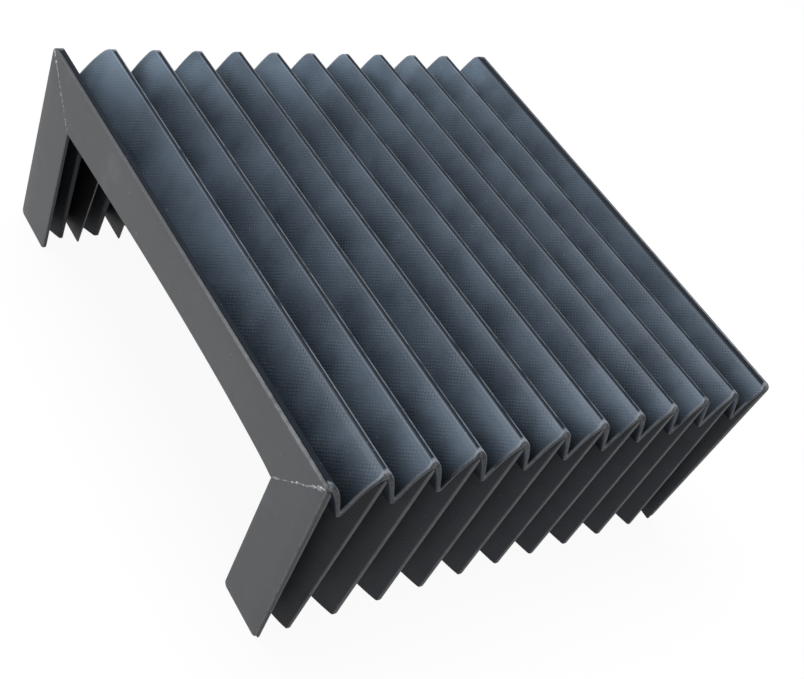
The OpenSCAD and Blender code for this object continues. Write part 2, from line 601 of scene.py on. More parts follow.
@dataclass
class FoldSection:
    """Fine section through one fold, from crest to crest.

    `index` is the fold's number from the front, counted from 0. Each row of `outer` and `inner` is [x, depth]
    of the cloth's two faces at one station.
    """

    index: int
    outer: np.ndarray
    inner: np.ndarray
    normal: np.ndarray
    bulge: np.ndarray
    along: np.ndarray
    sway: np.ndarray
    panel: np.ndarray
    land: np.ndarray
    rub_and_highlight: np.ndarray
    painted_shade: np.ndarray

    @property
    def length(self) -> float:
        """Length of the fold's cloth from crest to crest."""
        return float(self.along[-1] - self.along[0])

    def piece(self, word: str) -> str:
        """Name of this fold's piece in the strip with that word."""
        return f"{word}_fold_{self.index + 1:02d}"


@dataclass
class PleatSection:
    """Section through a whole pleated strip, from the front frame to the rear one.

    Stations lie close where the cloth bends: on the crest, over its edge, in the crease and at the groove.
    """

    sizes: CoverSizes
    rounding: float = 0.6 * MM
    rounding_reach: float = 4.0
    step: float = 0.05 * MM
    crease_at: float = 1.4 * MM
    crease_half: float = 0.6 * MM
    crease_depth: float = 0.06 * MM
    rub_and_highlight_half: float = 0.34 * MM
    rub_and_highlight_in: float = 0.22 * MM
    rub_and_highlight_before: float = 0.1
    rub_and_highlight_behind: float = 1.0
    hem: float = 0.9 * MM
    land_fade: float = 0.3 * MM
    # Painted shade along the crease below each crest.
    crease_shade_at: float = 1.4 * MM
    crease_shade_half: float = 1.6 * MM
    bulge_front: float = 2.2 * MM
    bulge_rear: float = 0.7 * MM
    bulge_lean: float = 0.65
    bulge_power: float = 1.25
    sway_power: float = 1.2
    crest_stations: int = 3
    crest_margin: float = 0.7 * MM
    edge_stations_mm: tuple[float, ...] = (-0.45, -0.25, -0.05, 0.15, 0.4, 0.7)
    crease_stations: int = 9
    crease_spread: float = 1.8
    panel_stations: int = 9
    panel_margins: Pair = (1.6 * MM, 2.2 * MM)
    groove_stations_mm: tuple[float, ...] = (1.6, 1.1, 0.75, 0.5, 0.25, 0)

    def corners(self) -> tuple[list[np.ndarray], list[np.ndarray]]:
        """Corners of the cloth's faces, one list for each half fold.

        Returns:
            The outer corners and the inner corners, both as [x, depth].
        """
        sizes = self.sizes
        outer, inner = [], []
        deep = sizes.depth + sizes.sheet
        end_grooves = {0: -sizes.end_groove, sizes.crest_count: sizes.end_groove}
        for index, crest in enumerate([-sizes.sheet_end, *sizes.crests]):
            half = sizes.slack_half if index == sizes.crest_count else sizes.crest_half
            groove = end_grooves.get(index, crest + sizes.pitch / 2)
            land, inside = (sizes.end_crest, sizes.flap_crest) if index == 0 else (half, 0.0)
            outer.append(np.array([[crest, 0], [crest + land, 0], [groove, sizes.depth]]))
            inner.append(np.array([[crest, sizes.sheet], [crest + inside, sizes.sheet],
                                   [groove - half, deep], [groove, deep]]))
        return self.with_rising(outer), self.with_rising(inner)

    @staticmethod
    def with_rising(falling: list[np.ndarray]) -> list[np.ndarray]:
        """Puts a rising half behind each falling one: the mirror image of the one at the other end."""
        rising = [points[::-1] * np.array([-1, 1]) for points in reversed(falling)]
        return [half for pair in zip(falling, rising) for half in pair]

    @staticmethod
    def read(line: np.ndarray, along: np.ndarray, at: np.ndarray) -> np.ndarray:
        """Reads a line, whose points lie at the distances `along`, at other distances."""
        return np.column_stack([np.interp(at, along, line[:, axis]) for axis in (0, 1)])

    @staticmethod
    def distances(points: np.ndarray) -> np.ndarray:
        """Distances of a line's corners along it."""
        return np.concatenate([[0], np.cumsum(np.hypot(*np.diff(points, axis=0).T))])

    def softened(self, points: np.ndarray) -> np.ndarray:
        """Rounds the corners of a finely sampled line.

        Args:
            points: Points of the line, one step apart.

        Returns:
            The same number of points.
        """
        reach = int(round(self.rounding_reach * self.rounding / self.step))
        offsets = np.arange(-reach, reach + 1) * self.step
        weights = np.exp(-0.5 * (offsets / self.rounding) ** 2)
        weights /= weights.sum()
        before = 2 * points[0] - points[reach:0:-1]
        after = 2 * points[-1] - points[-2:-reach - 2:-1]
        padded = np.vstack([before, points, after])
        return np.column_stack([np.convolve(padded[:, axis], weights, mode="valid") for axis in (0, 1)])

    def stations(self, length: float, land: float) -> np.ndarray:
        """Distances from a crest to a groove at which the cloth is sampled.

        Args:
            length: Length of the half fold.
            land: Length of its crest.

        Returns:
            The distances, in rising order.
        """
        crease = land + self.crease_at
        start, end = self.panel_margins
        spread = np.linspace(-self.crease_spread, self.crease_spread, self.crease_stations)
        return np.unique(np.round(np.concatenate([
            np.linspace(0, land - self.crest_margin, self.crest_stations),
            land + np.array(self.edge_stations_mm) * MM,
            crease + self.crease_half * spread,
            np.linspace(crease + start, length - end, self.panel_stations),
            length - np.array(self.groove_stations_mm) * MM,
        ]), decimals=8))

    def bulge_curve(self, share: np.ndarray) -> np.ndarray:
        """How far a panel stands out of its plane, from its crest at 0 to its groove at 1."""
        return np.sin(math.pi * np.clip(share, 0, 1) ** self.bulge_lean) ** self.bulge_power

    def half_fold(self, half: int, begin: float, line: np.ndarray) -> tuple[np.ndarray, ...]:
        """Stations of one half fold.

        Args:
            half: Number of the half fold from the front. Even ones fall from a crest, odd ones rise to one.
            begin: Distance along the strip at which it begins.
            line: Its outer corners.

        Returns:
            Six numbers for each station: its distance along the strip, its distance past the crest, its share
            of the panel, the bulge, how much its crest is rubbed, and the width of the hem at a frame.
        """
        falls = half % 2 == 0
        length = float(self.distances(line)[-1])
        land = float(line[1, 0] - line[0, 0] if falls else line[-1, 0] - line[-2, 0])
        at = self.stations(length, land)
        share = (at - land) / (length - land)
        bulge = (self.bulge_rear if falls else self.bulge_front) * self.bulge_curve(share)
        rubbed_and_highlit, hem = (self.rub_and_highlight_behind if falls else self.rub_and_highlight_before), 0.0
        if half in (0, 2 * self.sizes.crest_count + 1):
            rubbed_and_highlit, hem = 0.0, self.hem
        along = begin + (at if falls else length - at)
        columns = (along, at - land, share, bulge, np.full_like(at, rubbed_and_highlit), np.full_like(at, hem))
        return columns if falls else tuple(column[::-1] for column in columns)

    def folds(self) -> list[FoldSection]:
        """Samples every fold of the strip.

        Returns:
            One section for each fold, from the front end to the rear one.
        """
        halves = list(zip(*self.corners()))
        starts, places, faces, start = [], [], ([], []), 0.0
        for half in halves:
            length = float(self.distances(half[0])[-1])
            count = int(round(length / self.step))
            at = (np.arange(count) + 0.5) * length / count
            for face, points in zip(faces, half):
                face.append(self.read(points, self.distances(points), at))
            places.append(start + at)
            starts.append(start)
            start += length
        whole = np.concatenate(places)
        outer, inner = (self.softened(np.vstack(face)) for face in faces)
        slope = np.gradient(outer, whole, axis=0)
        slope /= np.linalg.norm(slope, axis=1)[:, None]
        normal = np.column_stack([slope[:, 1], -slope[:, 0]])
        made = []
        for index in range(len(halves) // 2):
            numbers = (2 * index, 2 * index + 1)
            pair = [self.half_fold(half, starts[half], halves[half][0]) for half in numbers]
            columns = (np.concatenate([before, behind[1:]]) for before, behind in zip(*pair))
            along, past_land, share, bulge, rubbed_and_highlit, hem = columns
            panel = np.clip(share, 0, 1)
            crease = -self.crease_depth * hump(past_land, self.crease_at, self.crease_half)
            normals = self.read(normal, whole, along)
            made.append(FoldSection(
                index=index,
                outer=self.read(outer, whole, along) + normals * crease[:, None],
                inner=self.read(inner, whole, along),
                normal=normals, bulge=bulge, along=along, panel=panel,
                sway=np.sin(math.pi * panel) ** self.sway_power,
                land=np.clip(0.5 - (past_land - hem) / self.land_fade, 0, 1),
                rub_and_highlight=rubbed_and_highlit * hump(past_land, -self.rub_and_highlight_in, self.rub_and_highlight_half),
                painted_shade=hump(past_land, self.crease_shade_at, self.crease_shade_half)))
        made[0].outer[0, 0] = made[0].inner[0, 0] = -self.sizes.sheet_end
        made[-1].outer[-1, 0] = made[-1].inner[-1, 0] = self.sizes.sheet_end
        return made

    def underside(self, x: np.ndarray, clear: float) -> np.ndarray:
        """Depth of the strip's inner face under its crests.

        Args:
            x: Places along X.
            clear: Clearance to keep below the face.

        Returns:
            One depth for each place.
        """
        corners = np.vstack(self.corners()[1])
        order = np.argsort(corners[:, 0], kind="stable")
        return np.interp(x, corners[order, 0], corners[order, 1]) + clear


@dataclass(frozen=True)
class Settle:
    """How the soft folds have settled: bow and sway of the top along X, and pull and lift of the feet."""

    sizes: CoverSizes
    near: Pair = (3.6 * MM, -1.6 * MM)
    far: Pair = (-0.6 * MM, 1.2 * MM)
    right_foot: float = -3.4 * MM
    left_foot: float = 0.6 * MM
    foot_power: int = 3
    right_lift: float = 1.6 * MM
    right_groove: float = 3.6 * MM
    lift_at: float = -5 * MM
    lift_half: float = 40 * MM

    def lift(self, x: Numbers, inwards: Numbers, side: Side) -> Numbers:
        """Height of a leg's feet over the floor: the right leg's middle folds and its grooves hang free.

        Args:
            x: Places along X.
            inwards: Share of the way from the crests to the grooves.
            side: Which leg.

        Returns:
            The heights.
        """
        hangs = float(side is Side.RIGHT)
        middle = hump(x, self.lift_at, self.lift_half)
        return hangs * (self.right_lift * middle + self.right_groove * inwards)

    def top(self, x: Numbers, across: Numbers) -> Numbers:
        """Drift of points of the top.

        Args:
            x: Places along X.
            across: Share of the way from the right leg to the left one.

        Returns:
            The drift along X, none at the frames.
        """
        half = self.sizes.sheet_end
        turn = math.pi * np.clip((x + half) / (2 * half), 0, 1)
        near, far = (bow * np.sin(turn) + sway * np.sin(2 * turn) for bow, sway in (self.near, self.far))
        return near * (1 - across) + far * across

    def leg(self, x: Numbers, side: Side, down: Numbers) -> Numbers:
        """Drift of points of a leg, whose end folds lean most at their feet.

        Args:
            x: Places along X.
            side: Which leg.
            down: Share of the way from the top to the feet.

        Returns:
            The drift along X, none at the frames.
        """
        half = self.sizes.sheet_end
        across, pull = (0.0, self.right_foot) if side is Side.RIGHT else (1.0, self.left_foot)
        start = np.clip((half - np.abs(x)) / self.sizes.pitch, 0, 1)
        foot = pull * start * np.cos(math.pi * (x + half) / (2 * half)) ** self.foot_power
        return self.top(x, across) * (1 - down) + foot * down


@dataclass
class Waves:
    """Gentle waves of a panel, which fade towards its folds."""

    random: np.random.Generator
    height: float
    lengths: tuple[float, ...] = (0.16, 0.085, 0.048, 0.027)
    stretches: Pair = (0.8, 1.25)
    fade: float = 0.7

    def heights(self, along: np.ndarray, count: int) -> np.ndarray:
        """Heights of the waves of several panels.

        Args:
            along: Places along the crests.
            count: Number of panels.

        Returns:
            One row for each panel and one column for each place.
        """
        total = np.zeros((count, len(along)))
        for length in self.lengths:
            turn = self.random.uniform(0, 2 * math.pi, (count, 1))
            stretch = self.random.uniform(*self.stretches, (count, 1))
            wave = np.sin(2 * math.pi * along[None, :] * stretch / length + turn)
            total += (length / self.lengths[0]) ** self.fade * wave
        return total * self.height / len(self.lengths)


def add_object(name: str, data: bpy.types.ID) -> Piece:
    """Adds an object to the scene.

    Args:
        name: Name of the object.
        data: Its mesh, lamp or camera.

    Returns:
        The new object.
    """
    obj = bpy.data.objects.new(name, data)
    bpy.context.scene.collection.objects.link(obj)
    return obj


def mesh_object(name: str, points: np.ndarray, faces: Faces) -> Piece:
    """Makes an object from points and faces.

    Args:
        name: Name of the piece.
        points: Its points, in metres.
        faces: The points of each face.

    Returns:
        The new object, in the scene.
    """
    mesh = bpy.data.meshes.new(name)
    mesh.from_pydata(points.tolist(), [], faces)
    mesh.update()
    return add_object(name, mesh)


def tube_faces(rings: int, sides: int) -> Faces:
    """Faces along a tube, without its two ends.

    Args:
        rings: Number of rings of points along the tube.
        sides: Number of points in each ring.

    Returns:
        The faces, ring by ring.
    """
    faces: Faces = []
    for ring in range(rings - 1):
        here, there = ring * sides, (ring + 1) * sides
        for side in range(sides):
            after = (side + 1) % sides
            faces.append((here + side, here + after, there + after, there + side))
    return faces


def tube_ends(rings: int, sides: int) -> Faces:
    """The two faces that close a tube."""
    return [tuple(range(sides)), tuple(range((rings - 1) * sides, rings * sides))]


def give_materials(mesh: bpy.types.Mesh, *materials: Material) -> None:
    """Gives a mesh its materials, in the order of its faces' material numbers."""
    for material in materials:
        mesh.materials.append(material)


def write_numbers(mesh: bpy.types.Mesh, name: str, numbers: np.ndarray) -> None:
    """Stores one number from 0 to 1 for each point of a mesh, for its material to read.

    Args:
        mesh: The mesh.
        name: Name under which the material reads them.
        numbers: The numbers, in the order of the points.
    """
    layer = mesh.attributes.new(name, "FLOAT", "POINT")
    layer.data.foreach_set("value", np.clip(numbers, 0, 1).astype(np.float32).ravel())


def face_outwards(mesh: bpy.types.Mesh, sharp: float) -> None:
    """Turns a closed mesh's faces outwards and shades it smooth up to an angle.

    Args:
        mesh: The mesh.
        sharp: Angle between two faces above which their edge stays sharp.
    """
    work = bmesh.new()
    work.from_mesh(mesh)
    bmesh.ops.recalc_face_normals(work, faces=work.faces)
    work.to_mesh(mesh)
    work.free()
    mesh.shade_smooth()
    mesh.set_sharp_from_angle(angle=sharp)


def report(piece: Piece) -> None:
    """Reports a finished piece."""
    log.info("%s: %d faces", piece.name, len(piece.data.polygons))


@dataclass
class PleatedStrip:
    """One pleated strip of the cover, made fold by fold."""

    sizes: CoverSizes
    section: PleatSection
    settle: Settle
    cloth: Material
    cut_edge: Material
    seed: int
    node: str = ""
    word: str = ""
    rows: int = 90
    rim: float = 0.25 * MM
    worn_rim: float = 1.2 * MM
    worn_share: float = 0.9
    right_end_light: float = 0.0
    left_end_light: float = 0.0
    end_reach: float = 22 * MM
    wave: float = 0.55 * MM
    sharp: float = math.radians(48)
    random: np.random.Generator = field(init=False)

    def __post_init__(self) -> None:
        """Starts the strip's own random draws."""
        self.random = np.random.default_rng(self.seed)

    @property
    def span(self) -> float:
        """Length of a crest of this strip."""
        raise NotImplementedError

    @cached_property
    def places(self) -> np.ndarray:
        """Places of the rows of points across the strip, from 0 to 1, close at both cut edges."""
        edge = np.array([0.0, self.rim, self.worn_rim]) / self.span
        return np.concatenate([edge, np.linspace(0, 1, self.rows)[1:-1], 1 - edge[::-1]])

    def placed(self, line: np.ndarray) -> np.ndarray:
        """Places one face of a fold, given as [x, depth] for each row and station, in the frame."""
        raise NotImplementedError

    def flat(self, fold: FoldSection) -> Triple:
        """Flat width, length and area of one fold's cloth."""
        raise NotImplementedError

    def crest_line(self, x: float) -> tuple[float, Vector]:
        """Drift along X of the crest at `x`, where Y and Z are 0, and its change along each axis."""
        raise NotImplementedError

    def painted_shade(self, fold: FoldSection) -> np.ndarray:
        """Painted shade of a fold at each station."""
        raise NotImplementedError

    def land(self, fold: FoldSection) -> np.ndarray:
        """How much of the crest's tone a fold has at each station."""
        return fold.land

    def fullness(self, fold: FoldSection) -> np.ndarray:
        """Share of the full bulge that a fold's panels have in each row."""
        return np.ones_like(self.places)

    @staticmethod
    def faces(stations: int, rows: int) -> tuple[Faces, int]:
        """Faces of a fold: a closed ring of stations in each row, and a cap at both cut edges.

        Args:
            stations: Stations on each face of the cloth.
            rows: Rows of points.

        Returns:
            The faces, and how many of them come before the caps.
        """
        ring = 2 * stations
        faces = tube_faces(rows, ring)
        body = len(faces)
        for base in (0, (rows - 1) * ring):
            faces += [(base + at, base + at + 1, base + ring - 2 - at, base + ring - 1 - at)
                      for at in range(stations - 1)]
        return faces, body

    def build_fold(self, fold: FoldSection) -> Piece:
        """Builds and dresses one fold.

        Args:
            fold: Its section.

        Returns:
            The fold's piece.
        """
        rows, stations = self.places, len(fold.along)
        waves = Waves(self.random, self.wave).heights((rows - 0.5) * self.span, 2)
        groove = int(np.argmax(fold.outer[:, 1]))
        panel = (np.arange(stations) > groove).astype(int)
        shift = waves[panel, :].T * fold.sway + self.fullness(fold)[:, None] * fold.bulge
        pinch = np.where((rows == 0) | (rows == 1), self.rim, 0.0)[:, None]
        outer = fold.outer + fold.normal * (shift - pinch)[:, :, None]
        inner = fold.inner + fold.normal * (shift + pinch)[:, :, None]
        points = np.concatenate([self.placed(outer), self.placed(inner)[:, ::-1]], axis=1)
        faces, body = self.faces(stations, len(rows))
        obj = mesh_object(fold.piece(self.word), points.reshape(-1, 3), faces)
        self.dress(obj.data, fold, body)
        return obj

    def dress(self, mesh: bpy.types.Mesh, fold: FoldSection, body: int) -> None:
        """Gives a fold its materials, and the numbers and coordinates that they read.

        Args:
            mesh: The fold's mesh.
            fold: Its section.
            body: Number of faces before the caps at its cut edges.
        """
        give_materials(mesh, self.cloth, self.cut_edge)
        kinds = np.zeros(len(mesh.polygons), dtype=np.int32)
        kinds[body:] = 1
        mesh.polygons.foreach_set("material_index", kinds)
        rows = self.places
        from_edge = np.minimum(rows, 1 - rows) * self.span
        none = np.zeros((len(rows), len(fold.along)))
        rise = none + (1 - fold.panel)
        # The pale rim at each cut edge is partly wear and partly a painted highlight.
        worn = np.where(from_edge < self.worn_rim, self.worn_share, 0.0)[:, None]
        # Strength of the painted highlight and shade near each cut edge, most at the left end.
        shares = self.right_end_light * (1 - rows) + self.left_end_light * rows
        ends = none + (shares * hump(from_edge, 0, self.end_reach))[:, None]
        layers = {
            "rise": (rise, rise),
            "land": (none + self.land(fold), none),
            "rub_and_highlight": (worn + fold.rub_and_highlight, none),
            "painted_shade": (none + self.painted_shade(fold), none),
            "ends": (ends, ends),
        }
        for name, (outside, inside) in layers.items():
            write_numbers(mesh, name, np.hstack([outside, inside[:, ::-1]]))
        ring = np.concatenate([fold.along, fold.along[::-1]])
        flat = np.stack(np.meshgrid(rows * self.span, ring, indexing="ij"), axis=-1).reshape(-1, 2)
        corner = np.zeros(len(mesh.loops), dtype=np.int32)
        mesh.loops.foreach_get("vertex_index", corner)
        layer = mesh.uv_layers.new(name="cloth")
        layer.data.foreach_set("uv", flat[corner].astype(np.float32).ravel())
        face_outwards(mesh, self.sharp)

    def blend_line(self, index: int) -> tuple[Vector, Vector]:
        """Places the blend of a fold, so that all folds share the travel.

        The blends of two neighbours agree at the crest between them. An end fold moves more steeply than its
        neighbour, so its blend is turned to follow that crest as it has drifted.

        Args:
            index: Number of the fold from the front, counted from 0.

        Returns:
            The points where the blend starts and ends.
        """
        sizes = self.sizes
        still, seams = sizes.still_end, sizes.crests.tolist()
        places = [sizes.blend_place(x) for x in seams]
        follow = Vector()
        if index in (0, sizes.crest_count):
            seam = 0 if index == 0 else sizes.crest_count - 1
            reach = (still - abs(seams[seam])) / min(places[seam], 1 - places[seam])
            start = -still if index == 0 else still - reach
            share = 1 - reach * (places[1] - places[0]) / sizes.pitch
            offset, follow = self.crest_line(seams[seam])
            start, follow = start + share * offset, share * follow
        else:
            reach = sizes.pitch / (places[index] - places[index - 1])
            start = seams[index - 1] - places[index - 1] * reach
        first, way = Vector((start, 0, 0)), Vector((1, 0, 0)) - follow
        return first, first + way * (reach / way.length_squared)

    def attach(self, obj: Piece, fold: FoldSection, rests_on: list[str]) -> None:
        """Bakes a fold's placing into its mesh and hides the imported strip that it stands for.

        Args:
            obj: The fold's piece.
            fold: Its section.
            rests_on: Names of the pieces that carry it; not used.
        """
        first, last = self.blend_line(fold.index)
        End.FRONT.body
        End.REAR.body
        tuple(first)
        tuple(last)
        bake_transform(obj)
        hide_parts(self.node)
        width, length, area = self.flat(fold)

    def build(self, carried_by: list[str]) -> None:
        """Builds and dresses every fold, bakes its placing into its mesh and hides the imported strip.

        Args:
            carried_by: Words for the strips that carry this one.
        """
        for fold in self.section.folds():
            obj = self.build_fold(fold)
            self.attach(obj, fold, [fold.piece(word) for word in carried_by])
            report(obj)


@dataclass
class TopStrip(PleatedStrip):
    """Folds over the whole width, whose cut edges lie in the side planes."""

    node: str = "top_pleats"
    word: str = "top"
    right_end_light: float = 0.24
    left_end_light: float = 1.0
    crease_shade: float = 0.12
    right_groove_shadow: float = 1.3
    right_groove_shadow_reach: float = 24 * MM
    right_groove_shadow_power: float = 1.6
    middle_fullness: float = 0.32
    far_fullness: float = 0.42
    right_power: int = 3
    left_power: int = 10
    first_fullness: float = 1.1
    other_fullness: float = 0.85

    @property
    def span(self) -> float:
        """Length of a crest of the top."""
        return self.sizes.width

    def painted_shade(self, fold: FoldSection) -> np.ndarray:
        """Painted shade of a fold in each row and at each station: a dark line along the crease by each
        crest, and a painted shadow deepest in the grooves at the right leg.
        """
        right = hump(self.places * self.span, 0, self.right_groove_shadow_reach)
        return self.crease_shade * fold.painted_shade + self.right_groove_shadow * np.outer(right, fold.panel ** self.right_groove_shadow_power)

    def fullness(self, fold: FoldSection) -> np.ndarray:
        """Share of the full bulge in each row: most at the right leg and in the first fold.

        Args:
            fold: The fold's section.

        Returns:
            One share for each row.
        """
        whole = self.first_fullness if fold.index == 0 else self.other_fullness
        right, left = (1 - self.places) ** self.right_power, self.places ** self.left_power
        middle = self.middle_fullness
        return whole * (middle + (1 - middle) * right + (self.far_fullness - middle) * left)

    def crest_line(self, x: float) -> tuple[float, Vector]:
        """Drift along X of the crest at `x`, at its middle, and its change along Y."""
        right, left = (float(self.settle.top(x, across)) for across in (0, 1))
        return (right + left) / 2, Vector((0, (left - right) / self.span, 0))

    def placed(self, line: np.ndarray) -> np.ndarray:
        """Places one face of a fold, with the crests' ends rounded off.

        Args:
            line: The face's [x, depth], for each row and station.

        Returns:
            Points for each row and station.
        """
        sizes, rows = self.sizes, self.places[:, None]
        x, depth = line[..., 0], line[..., 1]
        short = np.clip(sizes.corner_r - depth, 0, sizes.corner_r)
        inset = sizes.corner_r - np.sqrt(sizes.corner_r ** 2 - short ** 2)
        y = (2 * rows - 1) * (sizes.width / 2 - inset)
        return np.stack([x + self.settle.top(x, rows), y, sizes.height - depth], axis=-1)

    def flat(self, fold: FoldSection) -> Triple:
        """Flat width, length and area of one fold's cloth."""
        return self.sizes.width, fold.length, self.sizes.width * fold.length


@dataclass
class LegStrip(PleatedStrip):
    """Folds of one leg, which tuck under the top's folds and close towards the leaning frames."""

    side: Side = Side.RIGHT
    rows: int = 40
    wave: float = 0.25 * MM
    head_clear: float = 0.5 * MM
    hem_tone: float = 0.9
    hem_reach: float = 7 * MM
    front_shade: tuple[float, ...] = (0.9, 0.2)

    def __post_init__(self) -> None:
        """Takes the leg's names from its side."""
        super().__post_init__()
        self.word = self.side.word
        self.node = f"{self.word}_pleats"

    @property
    def span(self) -> float:
        """Length of a crest of the leg."""
        return self.sizes.height - self.sizes.sheet

    def painted_shade(self, fold: FoldSection) -> np.ndarray:
        """Painted shade of a fold at each station, in the first folds behind the front frame."""
        share = self.front_shade[fold.index] if fold.index < len(self.front_shade) else 0.0
        return share * (1 - fold.land)

    def land(self, fold: FoldSection) -> np.ndarray:
        """How much of the crest's tone a fold has: also along the hem at the rear frame.

        Args:
            fold: The fold's section.

        Returns:
            One share for each station.
        """
        from_hem = fold.along[-1] - fold.along
        hem = self.hem_tone * np.clip(1 - from_hem / self.hem_reach, 0, 1)
        return np.maximum(fold.land, hem) if fold.index == self.sizes.crest_count else fold.land

    def crest_line(self, x: float) -> tuple[float, Vector]:
        """Drift along X of the crest at `x`, at its foot, and its change along Z."""
        head, foot = (float(self.settle.leg(x, self.side, down)) for down in (0, 1))
        return foot, Vector((0, 0, (head - foot) / self.span))

    def roof(self, x: np.ndarray) -> np.ndarray:
        """Height of the leg's head, under the top's folds."""
        return self.sizes.height - self.section.underside(x, self.head_clear)

    def placed(self, line: np.ndarray) -> np.ndarray:
        """Places one face of a fold, cut to the underside of the top.

        Args:
            line: The face's [x, depth], for each row and station.

        Returns:
            Points for each row and station.
        """
        sizes, rows = self.sizes, self.places[:, None]
        x, depth = line[..., 0], line[..., 1]
        roof = self.roof(x)
        low = self.settle.lift(x, np.clip(depth / sizes.depth, 0, 1), self.side)
        z = low + rows * (roof - low)
        first = sizes.crests[-1]
        full = sizes.end_groove if self.side is Side.LEFT else sizes.sheet_end
        lean_share = np.clip((np.abs(x) - first) / (full - first), 0, 1)
        closed = -np.sign(x) * lean_share * math.tan(sizes.lean) * (roof - z)
        drift = self.settle.leg(x, self.side, 1 - rows)
        y = self.side.value * (sizes.width / 2 - depth)
        return np.stack([x + closed + drift, y, z], axis=-1)

    def flat(self, fold: FoldSection) -> Triple:
        """Flat width, length and area of one fold's cloth.

        Args:
            fold: The fold's section.

        Returns:
            The width at its highest, the length, and the area as cut to the top.
        """
        heights = self.roof(fold.outer[:, 0])
        area = float((np.diff(fold.along) * (heights[1:] + heights[:-1]) / 2).sum())
        return float(heights.max()), fold.length, area


